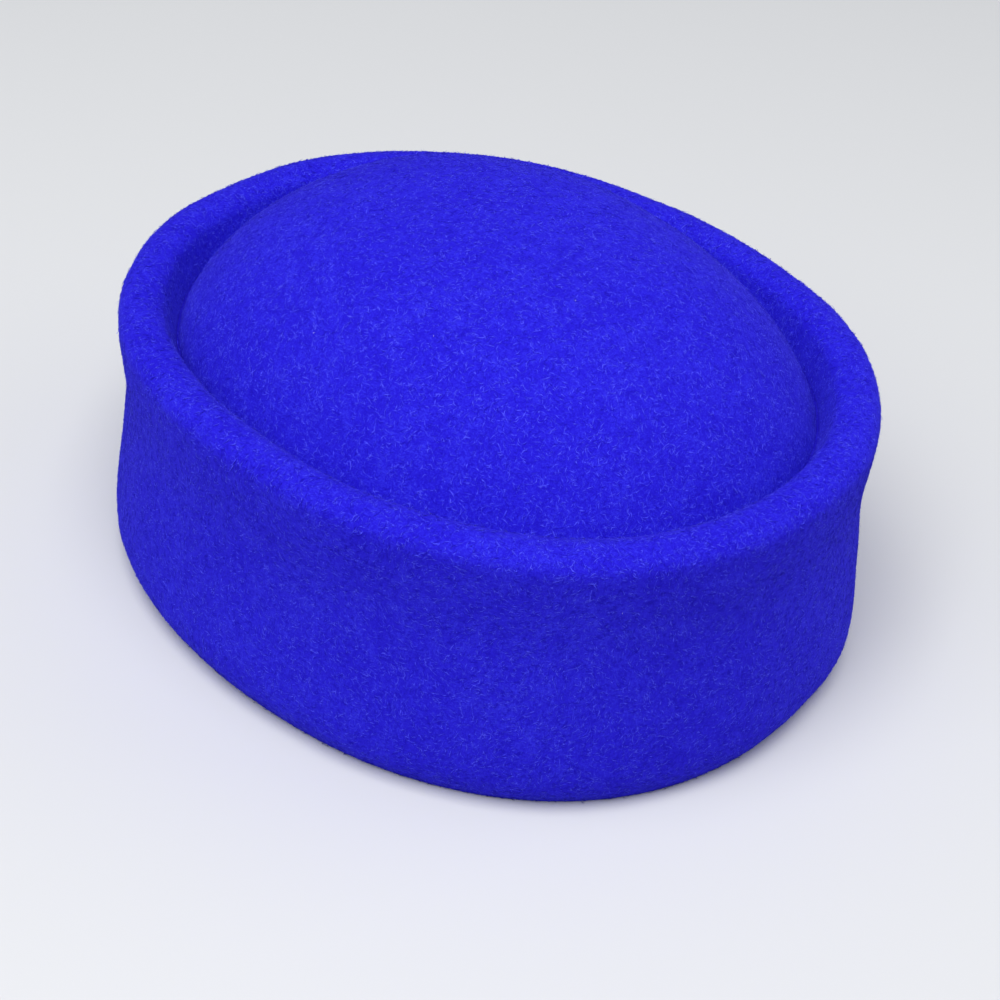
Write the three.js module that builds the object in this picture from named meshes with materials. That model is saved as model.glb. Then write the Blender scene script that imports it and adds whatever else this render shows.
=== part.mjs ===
import * as THREE from 'three';

// A one-piece pillbox hat blocked from wool felt. It stands on its hem with the head
// opening downwards, long axis along Y, and its middle on the Z axis. Millimetres.

// Plan of the wall where it stands out most.
const hatLength = 205;
const hatWidth = 175;
// Power of the plan's oval: 2 is a true ellipse, more is squarer.
const ovalPower = 2.15;

// Thickness of the felt, the same all over.
const feltThickness = 2.4;

// Wall. Heights are measured from the hem, set-ins from the fullest part of the wall.
const fullestHeight = 11.5;
const waistHeight = 47;
const hemTuck = 4.2;
const waistSetIn = 4;

// Lip, the felt rolled over the top of the wall.
const lipHeight = 69;
const lipSetIn = 2.8;
const lipWidth = 12.2;
const lipRise = 4.7;

// Gutter between the lip and the crown. Its drop is measured from where the lip stands out most.
const gutterDrop = 6.8;
const gutterWidth = 1.2;
const gutterLean = 2;

// Crown, the pillow that fills the ring of the gutter.
const crownHeight = 102.5;
// A higher power keeps the top flatter, a lower shoulder value makes the sides steeper.
const crownPower = 3;
const crownShoulder = 0.81;

// Fineness of the facets.
const columnCount = 60;
const wallSteps = 12;
const lipSteps = 8;
const gutterSteps = 4;
const crownSteps = 9;

// Colour of the felt.
const feltColour = 0x2321d8;
const feltRoughness = 0.95;

// Named levels of the wall.
const wallLevels = {
  hem: { up: 0, setIn: hemTuck },
  fullest: { up: fullestHeight, setIn: 0 },
  waist: { up: waistHeight, setIn: waistSetIn },
  lip: { up: lipHeight, setIn: lipSetIn },
};

// Stations of the wall. Each lies between two levels, at these shares of the way up and in.
const wallStations = [
  { from: 'hem', to: 'fullest', up: 0, setIn: 0 },
  { from: 'hem', to: 'fullest', up: 0.45, setIn: 0.72 },
  { from: 'fullest', to: 'waist', up: 0, setIn: 0 },
  { from: 'fullest', to: 'waist', up: 0.5, setIn: 0.5 },
  { from: 'waist', to: 'lip', up: 0, setIn: 0 },
  { from: 'waist', to: 'lip', up: 0.55, setIn: 0.45 },
  { from: 'waist', to: 'lip', up: 1, setIn: 1 },
];

// Where the lip's roll ends on its inner side, and where the crown rises from the gutter.
const lipInnerSetIn = lipSetIn + lipWidth;
const gutterRadius = gutterWidth / 2;
const crownFootSetIn = lipInnerSetIn + gutterLean + gutterWidth;
const crownFootHeight = lipHeight - gutterDrop + gutterRadius;

// The profile is drawn in a plane: x is minus the set-in from the plan's oval, y is the height.
function wallLine() {
  const points = wallStations.map((station) => {
    const low = wallLevels[station.from];
    const high = wallLevels[station.to];
    const setIn = THREE.MathUtils.lerp(low.setIn, high.setIn, station.setIn);
    return new THREE.Vector2(-setIn, THREE.MathUtils.lerp(low.up, high.up, station.up));
  });
  return new THREE.SplineCurve(points).getPoints(wallSteps);
}

// Half an ellipse over the top, from the outer side of the wall to the inner side of the lip.
function lipLine() {
  const halfWidth = lipWidth / 2;
  const roll = new THREE.EllipseCurve(-lipSetIn - halfWidth, lipHeight, halfWidth, lipRise, 0, Math.PI);
  return roll.getPoints(lipSteps).slice(1);
}

// Half a circle under the foot of the crown.
function gutterLine() {
  const middle = -crownFootSetIn + gutterRadius;
  const floor = new THREE.EllipseCurve(middle, crownFootHeight, gutterRadius, gutterRadius, 0, Math.PI, true);
  return floor.getPoints(gutterSteps);
}

// A point of the plan's oval with its outward direction.
function planPoint(column) {
  const turn = (column / columnCount) * 2 * Math.PI;
  const reach = (share) => Math.sign(share) * Math.abs(share) ** (2 / ovalPower);
  const slope = (share) => Math.sign(share) * Math.abs(share) ** (ovalPower - 1);
  const across = reach(Math.cos(turn));
  const along = reach(Math.sin(turn));
  const outward = new THREE.Vector2(slope(across) / hatWidth, slope(along) / hatLength).normalize();
  return { spot: new THREE.Vector2((across * hatWidth) / 2, (along * hatLength) / 2), outward };
}

const plan = Array.from({ length: columnCount }, (_, column) => planPoint(column));

// One row of points all round the hat, at one point of the profile.
function profileRow(point) {
  return plan.map(({ spot, outward }) => {
    const place = spot.clone().addScaledVector(outward, point.x);
    return new THREE.Vector3(place.x, place.y, point.y);
  });
}

// One row of the crown: the ring of its foot drawn in to a share of its size.
function crownRow(share, foot) {
  const lift = (crownHeight - crownFootHeight) * (1 - share ** crownPower) ** crownShoulder;
  const height = crownFootHeight + lift;
  return foot.map((point) => new THREE.Vector3(point.x * share, point.y * share, height));
}

// The outer skin, row by row from the hem to the last ring before the crown's middle.
function outerRows() {
  const rows = [...wallLine(), ...lipLine(), ...gutterLine()].map(profileRow);
  const foot = rows[rows.length - 1];
  for (let step = 1; step < crownSteps; step += 1) {
    rows.push(crownRow(Math.cos((step / crownSteps) * (Math.PI / 2)), foot));
  }
  return rows;
}

// The direction of the skin at a point, halfway between the ways in from before and on to after.
function heading(before, here, after) {
  const coming = here.clone().sub(before).normalize();
  return after.clone().sub(here).normalize().add(coming);
}

// The inner skin: each point of the outer skin moved in by the felt's thickness, square to it.
function innerRows(rows, top) {
  return rows.map((row, index) => row.map((point, column) => {
    const below = index > 0 ? rows[index - 1][column] : point;
    const above = index < rows.length - 1 ? rows[index + 1][column] : top;
    const right = row[(column + 1) % columnCount];
    const left = row[(column + columnCount - 1) % columnCount];
    const inward = heading(below, point, above).cross(heading(left, point, right)).normalize();
    return point.clone().addScaledVector(inward, feltThickness);
  }));
}

// The hem is cut level: the inner skin runs on straight down to the surface under the hat.
function hemRow(rows) {
  return rows[0].map((point, column) => {
    const above = rows[1][column];
    return point.clone().lerp(above, -point.z / (above.z - point.z));
  });
}

// Joins the rows into one closed body: hem, inner skin, outer skin and the two crown middles.
function feltShell() {
  const outer = outerRows();
  const outerTop = new THREE.Vector3(0, 0, crownHeight);
  const inner = innerRows(outer, outerTop);
  const innerTop = new THREE.Vector3(0, 0, crownHeight - feltThickness);
  const rows = [...inner.toReversed(), hemRow(inner), ...outer];
  const points = [innerTop, ...rows.flat(), outerTop];
  const at = (row, column) => 1 + row * columnCount + (column % columnCount);
  const triangles = [];
  for (let column = 0; column < columnCount; column += 1) {
    triangles.push(0, at(0, column + 1), at(0, column));
    for (let row = 0; row < rows.length - 1; row += 1) {
      triangles.push(at(row, column), at(row, column + 1), at(row + 1, column));
      triangles.push(at(row, column + 1), at(row + 1, column + 1), at(row + 1, column));
    }
    triangles.push(at(rows.length - 1, column), at(rows.length - 1, column + 1), points.length - 1);
  }
  const geometry = new THREE.BufferGeometry().setFromPoints(points);
  geometry.setIndex(triangles);
  geometry.computeVertexNormals();
  return geometry;
}

function feltCap() {
  const felt = new THREE.MeshStandardMaterial({ color: feltColour, roughness: feltRoughness, metalness: 0 });
  const cap = new THREE.Mesh(feltShell(), felt);
  cap.name = 'felt_cap';
  return cap;
}

const group = new THREE.Group();
group.add(feltCap());

export default group;
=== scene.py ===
import math

import bmesh
import bpy
import numpy as np
from mathutils import Matrix, Vector


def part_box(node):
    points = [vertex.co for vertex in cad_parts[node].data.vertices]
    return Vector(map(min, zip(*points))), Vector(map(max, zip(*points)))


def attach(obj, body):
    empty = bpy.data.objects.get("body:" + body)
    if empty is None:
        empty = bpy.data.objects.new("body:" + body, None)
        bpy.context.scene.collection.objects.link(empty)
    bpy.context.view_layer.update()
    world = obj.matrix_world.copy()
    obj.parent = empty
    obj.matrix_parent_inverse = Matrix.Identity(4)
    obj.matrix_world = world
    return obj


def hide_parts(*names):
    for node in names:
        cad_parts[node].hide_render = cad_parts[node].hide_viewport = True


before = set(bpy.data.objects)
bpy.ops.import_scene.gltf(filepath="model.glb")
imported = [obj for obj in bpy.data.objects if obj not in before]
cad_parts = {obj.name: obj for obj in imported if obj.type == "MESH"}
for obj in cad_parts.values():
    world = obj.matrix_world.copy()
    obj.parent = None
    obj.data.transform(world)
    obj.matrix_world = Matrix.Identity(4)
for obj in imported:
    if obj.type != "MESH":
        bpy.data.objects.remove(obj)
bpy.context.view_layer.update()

MM = 0.001
NODE = "felt_cap"
BODY = "root"

# The hat's box from the frame, which the sizes below follow.
CAP_LOW, CAP_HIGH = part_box(NODE)
CAP_SIZE = CAP_HIGH - CAP_LOW

# Random draws: each use has its own seed, counted on from the first.
SEED = 7
COMB_SEED = SEED + 11
NAP_SEED = SEED + 100
INNER_NAP_SEED = SEED + 200
LINT_SEED = SEED + 300

# A wandering field adds up this many waves, each between these two times as fine as asked.
FIELD_WAVES = 28
FIELD_FINENESS = (0.6, 1.4)

# Felt shell: the distance within which points are one, then how facets join into squares and round off.
WELD = 0.01 * MM
FACET_BEND = math.radians(40)
FACET_SKEW = math.radians(60)
FACET_LEVELS = 2
# How sharp the edges of the cut hem stay: 0 is round, 1 is sharp.
HEM_CREASE = 0.55

# The shell's skins, by material number.
OUTSIDE, INSIDE, CUT_EDGE = range(3)

# Waves of the hand-blocked felt, as wavelength and height. They fade out towards the resting hem.
SOFT_WAVES = ((45 * MM, 0.18 * MM), (16 * MM, 0.06 * MM))
HEM_FREE_HEIGHT = 6 * MM
# The waves push the felt away from the hat's middle, up or down by only this share of the way.
WAVE_UPWARD = 0.6

# Bend of the felt, in turns of direction a millimetre, from which it is darkened with painted shade, as
# in the gutter's fold.
CREASE_FROM = 0.2 / MM
CREASE_FULL = 0.6 / MM

# Nap: how many short fibres are brushed over the felt, on each outer piece and on the inner one.
NAP_FIBRES = 32000
INNER_NAP_FIBRES = 13000
# Fibres keep this far above the surface that the hem rests on.
FLOOR_CLEARANCE = 0.2 * MM

# A fibre's sizes, and the angle in radians by which it turns at its bend.
FIBRE_LENGTH = 1.7 * MM
FIBRE_WIDTH = 0.25 * MM
FIBRE_FLATNESS = 0.4
FIBRE_LIFT = 0.07 * MM
FIBRE_BEND = 0.8
# How fibres differ: the spread of length and of lift, the longest one, and the range of widths.
LENGTH_SPREAD = 0.35
LENGTH_LIMIT = 1.7
LIFT_SPREAD = 0.4
WIDTH_RANGE = (0.6, 1.4)

# Strays: the thin fibres that stand up, from a little above the resting hem.
STRAY_SHARE = 0.34
STRAY_LIFT = 0.36 * MM
STRAY_LIFT_RANGE = (0.3, 1.5)
STRAY_WIDTH = 0.08 * MM
STRAY_FREE_HEIGHT = 3 * MM

# Combing: how far fibres turn away from the way round the hat, in degrees, on the wall and on the crown.
WALL_SPREAD = 25
CROWN_SPREAD = 75
# How far felt has to face up or down to be combed as the crown is.
LEVEL_FACING = 0.625
SWIRL_SIZE = 22 * MM
SWIRL_TURN = 0.7
BACKWARD_SHARE = 0.5

# How much a fibre is shaded as round: 0 is as flat as the felt under it.
FIBRE_ROUNDNESS = 0.42
# Light that falls on the nap comes through its fibres, so their shading turns this much upwards.
NAP_UPWARD = 0.5
STRAY_UPWARD = 0.9

# A fibre is a closed spindle: a root, a ring of three points where it bends, and a tip.
FIBRE_ROOT, FIBRE_RING, FIBRE_TIP = 0, (1, 2, 3), 4
FIBRE_POINTS = 5
# Where these lie in a fibre's own cell of the map, with the ring opened out up the middle.
CELL_ROOT = (0.1, 0.5)
CELL_TIP = (0.9, 0.5)
CELL_RING_ACROSS = 0.5
CELL_RING_LOW = 0.15
CELL_RING_HIGH = 0.85

# Specks of pale lint caught in the nap: where they lie in millimetres, and their size.
LINT_PLACES = ((-11.6, -33.0, 100.1), (-52.0, 11.4, 87.7), (-40.7, -15.9, 95.0), (-49.2, -82.8, 59.3))
LINT_LENGTH = 0.45 * MM
LINT_WIDTH = 0.2 * MM
LINT_LIFT = 0.25 * MM

# Linear colours of the dyed wool, each with its place on the scale from dark to light strands.
FELT_STOPS = ((0.46, (0.014, 0.008, 0.50)), (0.56, (0.019, 0.013, 0.58)), (0.66, (0.031, 0.031, 0.68)))
NAP_DEEP = ((0.38, (0.013, 0.007, 0.47)), (0.62, (0.018, 0.012, 0.57)))
# Light strands: partly paler fibres of the wool, partly painted glint of fibres catching the light, in
# their paler, greener colour.
NAP_LIGHT = ((0.38, (0.024, 0.022, 0.62)), (0.62, (0.068, 0.072, 0.80)))
WHITE = (1.0, 1.0, 1.0)
# Painted shade, multiplied into the felt's colour where it folds sharply inwards.
CREASE_SHADE_TINT = (0.66, 0.58, 0.66)
SHEEN_BLUE = (0.12, 0.11, 1.0)
LINT_PALE = (0.45, 0.47, 0.72)

# Finish of the wool: fully rough, with no gloss, and a soft sheen.
WOOL_ROUGHNESS = 1.0
WOOL_GLOSS = 0.0
SHEEN_ROUGHNESS = 0.5
OUTSIDE_SHEEN = 0.3
INSIDE_SHEEN = 0.2
CUT_EDGE_SHEEN = 0.02
NAP_SHEEN = 0.25
# Brightness of the dye, against the outside's.
INSIDE_SHADE = 0.9
CUT_EDGE_SHADE = 0.85

# Felt surface: strands matted in three directions, each drawn out along one axis and turned.
STRAND_GRAIN = 1.6 * MM
STRAND_STRETCH = 4
STRAND_TURNS = ((0.2, 0.5, 0.9), (1.1, 0.3, 0.4), (0.7, 1.2, 0.1))
STRAND_TANGLE = 0.6
MOTTLE_GRAIN = 5 * MM
CLOUD_GRAIN = 40 * MM
FIBRE_GRAIN = 0.9 * MM
# Shares of strands, mottling and clouds in the colour.
STRAND_SHARE = 0.7
MOTTLE_SHARE = 0.2
CLOUD_SHARE = 0.1
# Relief of the surface, with the mottling's height against the strands'.
RELIEF_HEIGHT = 0.25 * MM
RELIEF_STRENGTH = 0.7
RELIEF_MOTTLE = 1.5

# Floor: its corners, then half its side in metres, its colour and its finish.
SQUARE = ((-1, -1), (1, -1), (1, 1), (-1, 1))
FLOOR_REACH = 3.0
FLOOR_GREY = (0.62, 0.63, 0.65)
FLOOR_ROUGHNESS = 0.9
FLOOR_GLOSS = 0.2

# Square lamps aimed at the hat's middle: place and side in metres, power in watts.
LAMPS = {
    "ceiling": {"place": (-0.46, -0.24, 1.42), "side": 1.1, "power": 22.5, "colour": (1.0, 0.985, 0.96)},
    "window": {"place": (-1.05, 0.15, 1.15), "side": 0.9, "power": 5.0, "colour": (0.97, 0.985, 1.0)},
    "pale_wall": {"place": (0.90, -0.80, 0.55), "side": 0.9, "power": 2.8, "colour": WHITE},
}
ROOM_COLOUR = (0.93, 0.96, 1.0)
ROOM_STRENGTH = 0.36

# Camera: angles in degrees, then distance, lens in millimetres and aim, for a square picture.
CAMERA_AZIMUTH = -50.93
CAMERA_ELEVATION = 37.27
CAMERA_ROLL = 4.74
CAMERA_DISTANCE = 2.533 * CAP_SIZE.y
CAMERA_LENS = 72
SENSOR_WIDTH = 36
AIM_HEIGHT = 0.398 * CAP_SIZE.z
AIM_RIGHT = 3.3 * MM
AIM_UP = -18.3 * MM


def unit(vectors):
    return vectors / np.maximum(np.linalg.norm(vectors, axis=1), np.finfo(float).tiny)[:, None]


def wander(points, wavelength, seed):
    """A smooth random field over points, about 1 in size, that changes over one wavelength."""
    rng = np.random.default_rng(seed)
    directions = unit(rng.normal(size=(FIELD_WAVES, 3)))
    numbers = directions * (2 * math.pi / wavelength) * rng.uniform(*FIELD_FINENESS, (FIELD_WAVES, 1))
    phases = rng.uniform(0, 2 * math.pi, FIELD_WAVES)
    total = np.zeros(len(points))
    for number, phase in zip(numbers, phases):
        total += np.sin(points @ number + phase)
    return total * math.sqrt(2 / FIELD_WAVES)


def vertex_places(mesh):
    places = np.zeros(len(mesh.vertices) * 3)
    mesh.vertices.foreach_get("co", places)
    return places.reshape(-1, 3)


def vertex_normals(mesh):
    normals = np.zeros(len(mesh.vertices) * 3)
    mesh.vertices.foreach_get("normal", normals)
    return normals.reshape(-1, 3)


def add_object(name, data):
    piece = bpy.data.objects.new(name, data)
    bpy.context.scene.collection.objects.link(piece)
    return piece


def belongs(piece):
    """The piece moves with the hat."""
    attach(piece, BODY)


# Felt shell

def on_hem(edge_or_face):
    return all(vertex.co.z < CAP_LOW.z + WELD for vertex in edge_or_face.verts)


def mark_skins(bm):
    """Sets each face's skin. The outside is what the crown's top reaches without crossing the hem."""
    for face in bm.faces:
        face.material_index = CUT_EDGE if on_hem(face) else INSIDE
    start = max(bm.faces, key=lambda face: face.calc_center_median().z)
    start.material_index = OUTSIDE
    waiting = [start]
    while waiting:
        face = waiting.pop()
        for edge in face.edges:
            for other in edge.link_faces:
                if other.material_index == INSIDE and not on_hem(edge):
                    other.material_index = OUTSIDE
                    waiting.append(other)


def rounded_mesh(name, bm):
    """The mesh with its facets rounded off by subdivision, as a plain mesh."""
    rough = bpy.data.meshes.new(name + "_rough")
    bm.to_mesh(rough)
    piece = add_object(name + "_rough", rough)
    subdivide = piece.modifiers.new("round", "SUBSURF")
    subdivide.levels = FACET_LEVELS
    subdivide.render_levels = FACET_LEVELS
    evaluated = piece.evaluated_get(bpy.context.evaluated_depsgraph_get())
    mesh = bpy.data.meshes.new_from_object(evaluated)
    mesh.name = name
    bpy.data.objects.remove(piece)
    bpy.data.meshes.remove(rough)
    return mesh


def make_uneven(mesh):
    """Soft waves of hand-blocked felt, the same through its thickness, and none at the resting hem."""
    places = vertex_places(mesh)
    middle = np.array([0, 0, CAP_SIZE.z / 2])
    outward = unit((places - middle) * np.array([1, 1, WAVE_UPWARD]))
    free = np.clip((places[:, 2] - CAP_LOW.z) / HEM_FREE_HEIGHT, 0, 1)
    for index, (wavelength, height) in enumerate(SOFT_WAVES):
        places += outward * (wander(places, wavelength, SEED + index) * height * free)[:, None]
    mesh.vertices.foreach_set("co", places.ravel())
    mesh.update()


def paint_crease_shade(mesh):
    """A colour attribute that is white where the felt is folded sharply inwards, as in the gutter: the
    mask for painted shade.
    """
    ends = np.zeros(len(mesh.edges) * 2, dtype=np.int64)
    mesh.edges.foreach_get("vertices", ends)
    ends = ends.reshape(-1, 2)
    places = vertex_places(mesh)
    normals = vertex_normals(mesh)
    bend = np.zeros(len(places))
    for here, there in (ends.T, ends.T[::-1]):
        along = places[there] - places[here]
        rise = (along * normals[here]).sum(1)
        np.maximum.at(bend, here, rise / np.maximum((along ** 2).sum(1), WELD ** 2))
    share = np.clip((bend - CREASE_FROM) / (CREASE_FULL - CREASE_FROM), 0, 1)
    colour = np.ones((len(places), 4))
    colour[:, :3] = share[:, None]
    mesh.color_attributes.new("crease", "FLOAT_COLOR", "POINT").data.foreach_set("color", colour.ravel())


def felt_shell(materials):
    bm = bmesh.new()
    bm.from_mesh(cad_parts[NODE].data)
    bmesh.ops.remove_doubles(bm, verts=bm.verts, dist=WELD)
    bmesh.ops.join_triangles(
        bm, faces=bm.faces, angle_face_threshold=FACET_BEND, angle_shape_threshold=FACET_SKEW
    )
    bmesh.ops.recalc_face_normals(bm, faces=bm.faces)
    crease = bm.edges.layers.float.new("crease_edge")
    mark_skins(bm)
    for edge in bm.edges:
        if on_hem(edge) and not all(on_hem(face) for face in edge.link_faces):
            edge[crease] = HEM_CREASE
    mesh = rounded_mesh("felt_shell", bm)
    bm.free()
    make_uneven(mesh)
    paint_crease_shade(mesh)
    for polygon in mesh.polygons:
        polygon.use_smooth = True
    for material in materials:
        mesh.materials.append(material)
    shell = add_object("felt_shell", mesh)
    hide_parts(NODE)
    belongs(shell)
    return shell


# Nap

def skin_triangles(mesh, skin):
    """Corner numbers and areas of the mesh's triangles on one skin, above the resting edge."""
    mesh.calc_loop_triangles()
    count = len(mesh.loop_triangles)
    corners = np.zeros(count * 3, dtype=np.int64)
    mesh.loop_triangles.foreach_get("vertices", corners)
    skins = np.zeros(count, dtype=np.int64)
    mesh.loop_triangles.foreach_get("material_index", skins)
    corners = corners.reshape(-1, 3)[skins == skin]
    places = vertex_places(mesh)[corners]
    above = places[:, :, 2].min(1) > CAP_LOW.z + WELD
    places = places[above]
    sides = np.cross(places[:, 1] - places[:, 0], places[:, 2] - places[:, 0])
    return corners[above], np.linalg.norm(sides, axis=1) / 2


def scatter(mesh, skin, count, rng):
    """Roots spread evenly over one skin, with the surface's direction at each."""
    corners, areas = skin_triangles(mesh, skin)
    chosen = corners[rng.choice(len(corners), count, p=areas / areas.sum())]
    first = np.sqrt(rng.random(count))
    second = rng.random(count)
    weights = np.stack([1 - first, first * (1 - second), first * second], axis=1)[:, :, None]
    roots = (vertex_places(mesh)[chosen] * weights).sum(1)
    return roots, unit((vertex_normals(mesh)[chosen] * weights).sum(1))


def combed(roots, normals, rng):
    """The way each fibre lies: round the hat on the wall, in looser swirls on the crown."""
    around = unit(np.stack([-roots[:, 1], roots[:, 0], np.zeros(len(roots))], axis=1))
    around = unit(around - normals * (around * normals).sum(1)[:, None])
    across = np.cross(normals, around)
    level = np.clip(np.abs(normals[:, 2]) / LEVEL_FACING, 0, 1)
    spread = np.radians(WALL_SPREAD + (CROWN_SPREAD - WALL_SPREAD) * level)
    turn = rng.normal(size=len(roots)) * spread + wander(roots, SWIRL_SIZE, COMB_SEED) * SWIRL_TURN
    turn += np.where(rng.random(len(roots)) < BACKWARD_SHARE, math.pi, 0)
    return around * np.cos(turn)[:, None] + across * np.sin(turn)[:, None]


def fibre_faces():
    """The six triangles of a fibre, and where each corner lies in the fibre's cell of the map."""
    faces = []
    places = []
    heights = np.linspace(CELL_RING_LOW, CELL_RING_HIGH, len(FIBRE_RING) + 1)
    for step, here in enumerate(FIBRE_RING):
        after = FIBRE_RING[(step + 1) % len(FIBRE_RING)]
        low = (CELL_RING_ACROSS, heights[step])
        high = (CELL_RING_ACROSS, heights[step + 1])
        faces.append((after, here, FIBRE_ROOT))
        places.append((high, low, CELL_ROOT))
        faces.append((here, after, FIBRE_TIP))
        places.append((low, high, CELL_TIP))
    return np.array(faces), np.array(places)


def fibre_mesh(name, points, normals):
    """One mesh of many fibres, each with its own cell of the unit square."""
    count = len(points)
    shape, cell_places = fibre_faces()
    faces = (np.arange(count)[:, None, None] * FIBRE_POINTS + shape[None]).reshape(-1, 3)
    mesh = bpy.data.meshes.new(name)
    mesh.from_pydata(points.reshape(-1, 3), [], faces)
    side = math.ceil(math.sqrt(count))
    numbers = np.arange(count)
    corner = np.stack([numbers % side, numbers // side], axis=1)
    spread = (corner[:, None, :] + cell_places.reshape(1, -1, 2)) / side
    mesh.uv_layers.new(name="OFBake").data.foreach_set("uv", spread.ravel())
    mesh.polygons.foreach_set("use_smooth", np.ones(len(faces), dtype=bool))
    mesh.normals_split_custom_set_from_vertices(normals.reshape(-1, 3))
    return mesh


def spindles(roots, middles, tips, normals, widths, lit, rng):
    """Points and shading of fibres that run from a root past a bend to a tip."""
    points = np.empty((len(roots), FIBRE_POINTS, 3))
    points[:, FIBRE_ROOT] = roots
    points[:, FIBRE_TIP] = tips
    shading = np.repeat(lit[:, None, :], FIBRE_POINTS, axis=1)
    across = unit(np.cross(normals, unit(tips - roots)))
    turn = rng.uniform(0, 2 * math.pi, len(roots))
    for step, ring in enumerate(FIBRE_RING):
        angle = turn + step * 2 * math.pi / len(FIBRE_RING)
        round_it = across * np.cos(angle)[:, None] + normals * FIBRE_FLATNESS * np.sin(angle)[:, None]
        points[:, ring] = middles + round_it * widths[:, None] / 2
        shading[:, ring] = unit(lit + round_it * FIBRE_ROUNDNESS)
    points[:, :, 2] = np.maximum(points[:, :, 2], CAP_LOW.z + FLOOR_CLEARANCE)
    return points, shading


def fibre_piece(name, points, shading, material):
    mesh = fibre_mesh(name, points, shading)
    mesh.materials.append(material)
    belongs(add_object(name, mesh))


def nap_piece(name, mesh, skin, count, seed, material):
    """Many short bent fibres, most lying on the felt and some straying from it."""
    rng = np.random.default_rng(seed)
    roots, normals = scatter(mesh, skin, count, rng)
    way = combed(roots, normals, rng)
    bend = rng.normal(size=count) * FIBRE_BEND
    side = np.cross(normals, way)
    onward = way * np.cos(bend)[:, None] + side * np.sin(bend)[:, None]
    reach = FIBRE_LENGTH * np.minimum(rng.lognormal(0, LENGTH_SPREAD, count), LENGTH_LIMIT)[:, None] / 2
    stray = (rng.random(count) < STRAY_SHARE) & (roots[:, 2] > CAP_LOW.z + STRAY_FREE_HEIGHT)
    widths = np.where(stray, STRAY_WIDTH, FIBRE_WIDTH) * rng.uniform(*WIDTH_RANGE, count)
    lift = (FIBRE_LIFT * rng.lognormal(0, LIFT_SPREAD, count))[:, None]
    rise = (stray * STRAY_LIFT * rng.uniform(*STRAY_LIFT_RANGE, count))[:, None]
    tip_lift = lift * rng.uniform(0, 1, (count, 1)) + rise
    middles = roots + way * reach + normals * lift
    tips = middles + onward * reach + normals * (tip_lift - lift)
    sunk_roots = roots - normals * FIBRE_LIFT / 2
    upward = NAP_UPWARD * np.maximum(normals[:, 2], 0) + STRAY_UPWARD * stray
    lit = unit(normals + np.array([0, 0, 1]) * upward[:, None])
    points, shading = spindles(sunk_roots, middles, tips, normals, widths, lit, rng)
    fibre_piece(name, points, shading, material)


def lint(shell, material):
    """Tiny pale specks that lie on the nap."""
    rng = np.random.default_rng(LINT_SEED)
    found = [shell.closest_point_on_mesh(Vector(place) * MM) for place in LINT_PLACES]
    normals = np.array([normal for _, _, normal, _ in found])
    middles = np.array([place for _, place, _, _ in found]) + normals * LINT_LIFT
    along = unit(np.cross(normals, rng.normal(size=normals.shape))) * LINT_LENGTH / 2
    widths = np.full(len(found), LINT_WIDTH)
    points, shading = spindles(middles - along, middles, middles + along, normals, widths, normals, rng)
    fibre_piece("lint", points, shading, material)


# Materials

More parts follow.
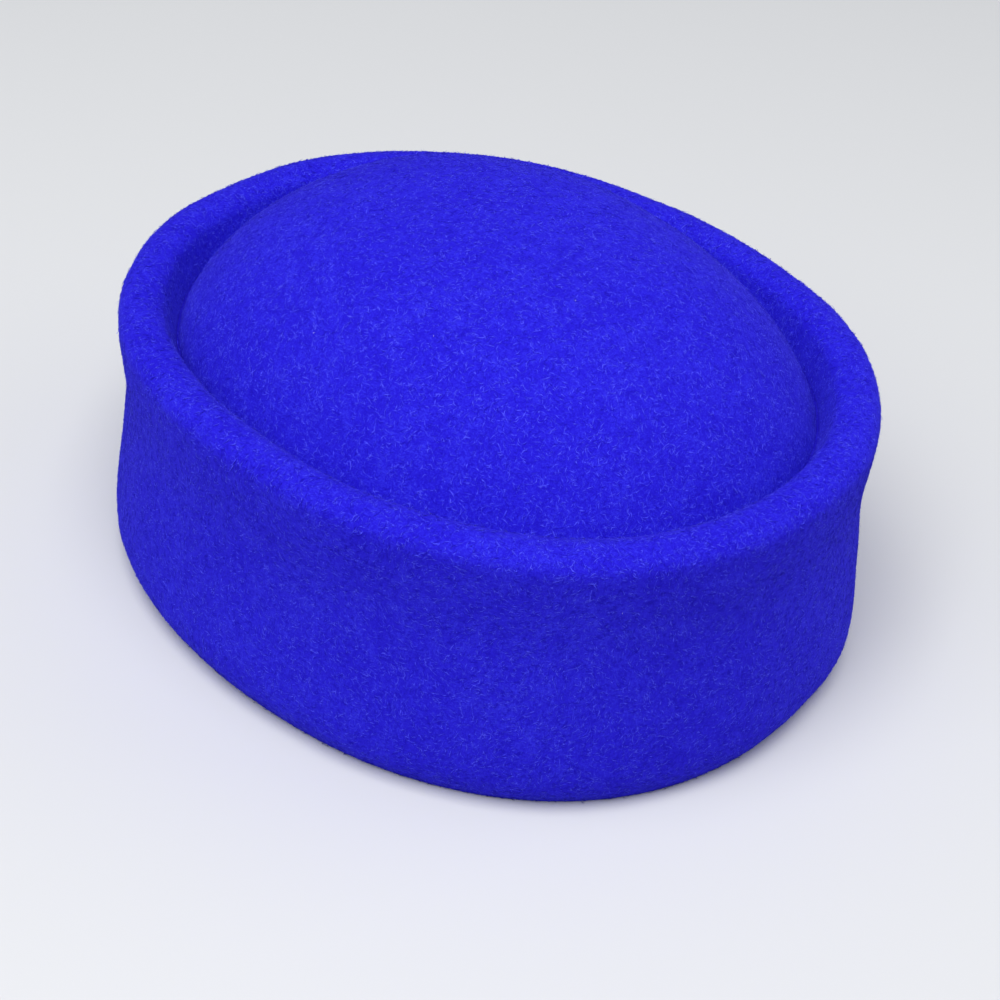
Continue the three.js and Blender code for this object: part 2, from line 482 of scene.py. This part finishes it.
class Nodes:
    """A material's node tree, with short ways to add and join nodes."""

    # Sockets of the mix node that hold colours.
    MIX_FIRST, MIX_SECOND, MIX_RESULT = 6, 7, 2

    def __init__(self, name):
        self.material = bpy.data.materials.new(name)
        self.material.use_nodes = True
        self.tree = self.material.node_tree
        self.shader = self.tree.nodes["Principled BSDF"]
        self.places = self.add("ShaderNodeTexCoord").outputs["Object"]

    def add(self, kind, **settings):
        node = self.tree.nodes.new(kind)
        for name, value in settings.items():
            setattr(node, name, value)
        return node

    def join(self, output, node, socket):
        self.tree.links.new(output, node.inputs[socket])

    def noise(self, places, grain, detail, roughness, distortion=0.0):
        """Noise whose spots are about one grain across."""
        noise = self.add("ShaderNodeTexNoise")
        noise.inputs["Scale"].default_value = 1 / grain
        noise.inputs["Detail"].default_value = detail
        noise.inputs["Roughness"].default_value = roughness
        noise.inputs["Distortion"].default_value = distortion
        self.join(places, noise, "Vector")
        return noise.outputs["Fac"]

    def strands(self, axis, turn):
        """Tangled noise that is drawn out along one axis, turned out of line with the hat."""
        stretch = [STRAND_STRETCH] * 3
        stretch[axis] = 1
        mapping = self.add("ShaderNodeMapping")
        mapping.inputs["Scale"].default_value = stretch
        mapping.inputs["Rotation"].default_value = turn
        self.join(self.places, mapping, "Vector")
        turned = mapping.outputs["Vector"]
        return self.noise(turned, STRAND_GRAIN, detail=2, roughness=0.6, distortion=STRAND_TANGLE)

    def math(self, operation, first, second):
        """A sum or the like of two values, each a node's output or a number."""
        node = self.add("ShaderNodeMath", operation=operation)
        for socket, value in enumerate((first, second)):
            if isinstance(value, (int, float)):
                node.inputs[socket].default_value = value
            else:
                self.join(value, node, socket)
        return node.outputs[0]

    def attribute(self, name):
        return self.add("ShaderNodeAttribute", attribute_name=name).outputs["Fac"]

    def multiply(self, first, second):
        node = self.add("ShaderNodeMix", data_type="RGBA", blend_type="MULTIPLY")
        node.inputs["Factor"].default_value = 1.0
        self.join(first, node, self.MIX_FIRST)
        self.join(second, node, self.MIX_SECOND)
        return node.outputs[self.MIX_RESULT]

    def ramp(self, fac, stops):
        node = self.add("ShaderNodeValToRGB")
        elements = node.color_ramp.elements
        for place, _ in stops[1:-1]:
            elements.new(place)
        for element, (place, colour) in zip(elements, stops):
            element.position = place
            element.color = (*colour, 1)
        self.join(fac, node, "Fac")
        return node.outputs["Color"]

    def bump(self, height, distance, strength):
        node = self.add("ShaderNodeBump")
        node.inputs["Strength"].default_value = strength
        node.inputs["Distance"].default_value = distance
        self.join(height, node, "Height")
        self.join(node.outputs["Normal"], self.shader, "Normal")

    def finish(self, roughness, gloss, sheen=0.0, tint=WHITE):
        self.shader.inputs["Roughness"].default_value = roughness
        self.shader.inputs["Specular IOR Level"].default_value = gloss
        self.shader.inputs["Sheen Weight"].default_value = sheen
        self.shader.inputs["Sheen Roughness"].default_value = SHEEN_ROUGHNESS
        self.shader.inputs["Sheen Tint"].default_value = (*tint, 1)


def shaded(stops, shade):
    """The stops of a colour ramp, with each colour dimmed to a share of itself."""
    return [(place, tuple(level * shade for level in colour)) for place, colour in stops]


def felt_material(name, sheen, shade=1.0):
    """Wool felt: matted strands in three directions over soft mottling."""
    nodes = Nodes(name)
    strands = [nodes.strands(axis, turn) for axis, turn in enumerate(STRAND_TURNS)]
    matted = nodes.math("MAXIMUM", nodes.math("MAXIMUM", strands[0], strands[1]), strands[2])
    mottle = nodes.noise(nodes.places, MOTTLE_GRAIN, detail=3, roughness=0.6)
    cloud = nodes.noise(nodes.places, CLOUD_GRAIN, detail=2, roughness=0.5)
    mixed = nodes.math("MULTIPLY", matted, STRAND_SHARE)
    mixed = nodes.math("ADD", mixed, nodes.math("MULTIPLY", mottle, MOTTLE_SHARE))
    mixed = nodes.math("ADD", mixed, nodes.math("MULTIPLY", cloud, CLOUD_SHARE))
    dyed = nodes.ramp(mixed, shaded(FELT_STOPS, shade))
    # Painted shade: the felt is darker where it folds sharply inwards, as in the gutter.
    crease_shade = nodes.ramp(nodes.attribute("crease"), ((0.0, WHITE), (1.0, CREASE_SHADE_TINT)))
    nodes.join(nodes.multiply(dyed, crease_shade), nodes.shader, "Base Color")
    relief = nodes.math("ADD", matted, nodes.math("MULTIPLY", mottle, RELIEF_MOTTLE))
    nodes.bump(relief, RELIEF_HEIGHT, RELIEF_STRENGTH)
    nodes.finish(WOOL_ROUGHNESS, WOOL_GLOSS, sheen, SHEEN_BLUE)
    return nodes.material


def nap_material(name, stops, shade=1.0):
    """Single dyed wool fibres: neighbours differ a little in depth of colour."""
    nodes = Nodes(name)
    each = nodes.noise(nodes.places, FIBRE_GRAIN, detail=2, roughness=0.7)
    nodes.join(nodes.ramp(each, shaded(stops, shade)), nodes.shader, "Base Color")
    nodes.finish(WOOL_ROUGHNESS, WOOL_GLOSS, NAP_SHEEN, SHEEN_BLUE)
    return nodes.material


def plain_material(name, colour, roughness, gloss):
    nodes = Nodes(name)
    nodes.shader.inputs["Base Color"].default_value = (*colour, 1)
    nodes.finish(roughness, gloss)
    return nodes.material


# Stage, light and camera

def stage():
    floor = bpy.data.meshes.new("floor")
    corners = [(across * FLOOR_REACH, along * FLOOR_REACH, CAP_LOW.z) for across, along in SQUARE]
    floor.from_pydata(corners, [], [range(len(corners))])
    floor.materials.append(plain_material("floor", FLOOR_GREY, FLOOR_ROUGHNESS, FLOOR_GLOSS))
    add_object("floor", floor)


def area_light(name, place, side, power, colour):
    lamp = bpy.data.lights.new(name, "AREA")
    lamp.shape = "SQUARE"
    lamp.size = side
    lamp.energy = power
    lamp.color = colour
    holder = add_object(name, lamp)
    holder.location = place
    aim = Vector((0, 0, CAP_SIZE.z / 2)) - Vector(place)
    holder.rotation_euler = aim.to_track_quat("-Z", "Y").to_euler()


def room():
    """Pale light from all round."""
    world = bpy.data.worlds.new("room")
    bpy.context.scene.world = world
    world.use_nodes = True
    background = world.node_tree.nodes["Background"]
    background.inputs["Color"].default_value = (*ROOM_COLOUR, 1)
    background.inputs["Strength"].default_value = ROOM_STRENGTH


def camera():
    azimuth, elevation, roll = (math.radians(a) for a in (CAMERA_AZIMUTH, CAMERA_ELEVATION, CAMERA_ROLL))
    back = Vector((
        math.sin(azimuth) * math.cos(elevation),
        -math.cos(azimuth) * math.cos(elevation),
        math.sin(elevation),
    ))
    level = Vector((0, 0, 1)).cross(back).normalized()
    upright = back.cross(level)
    right = math.cos(roll) * level + math.sin(roll) * upright
    up = math.cos(roll) * upright - math.sin(roll) * level
    place = Vector((0, 0, AIM_HEIGHT)) + right * AIM_RIGHT + up * AIM_UP + back * CAMERA_DISTANCE
    lens = bpy.data.cameras.new("camera")
    lens.sensor_width = SENSOR_WIDTH
    lens.lens = CAMERA_LENS
    holder = add_object("camera", lens)
    holder.matrix_world = Matrix.Translation(place) @ Matrix((right, up, back)).transposed().to_4x4()
    bpy.context.scene.camera = holder


def surroundings():
    camera()
    stage()
    for name, lamp in LAMPS.items():
        area_light(name, **lamp)
    room()
    bpy.context.scene.view_settings.view_transform = "Standard"


def hat():
    outside = felt_material("felt_outside", OUTSIDE_SHEEN)
    inside = felt_material("felt_inside", INSIDE_SHEEN, INSIDE_SHADE)
    cut_edge = felt_material("felt_cut_edge", CUT_EDGE_SHEEN, CUT_EDGE_SHADE)
    shell = felt_shell((outside, inside, cut_edge))
    deep = nap_material("nap_deep", NAP_DEEP)
    light = nap_material("nap_light", NAP_LIGHT)
    for number, material in enumerate((deep, light, deep, light), 1):
        nap_piece(f"nap_{number}", shell.data, OUTSIDE, NAP_FIBRES, NAP_SEED + number, material)
    inner = nap_material("nap_inside", NAP_LIGHT, INSIDE_SHADE)
    nap_piece("nap_inside", shell.data, INSIDE, INNER_NAP_FIBRES, INNER_NAP_SEED, inner)
    lint(shell, plain_material("lint", LINT_PALE, WOOL_ROUGHNESS, WOOL_GLOSS))


surroundings()
hat()
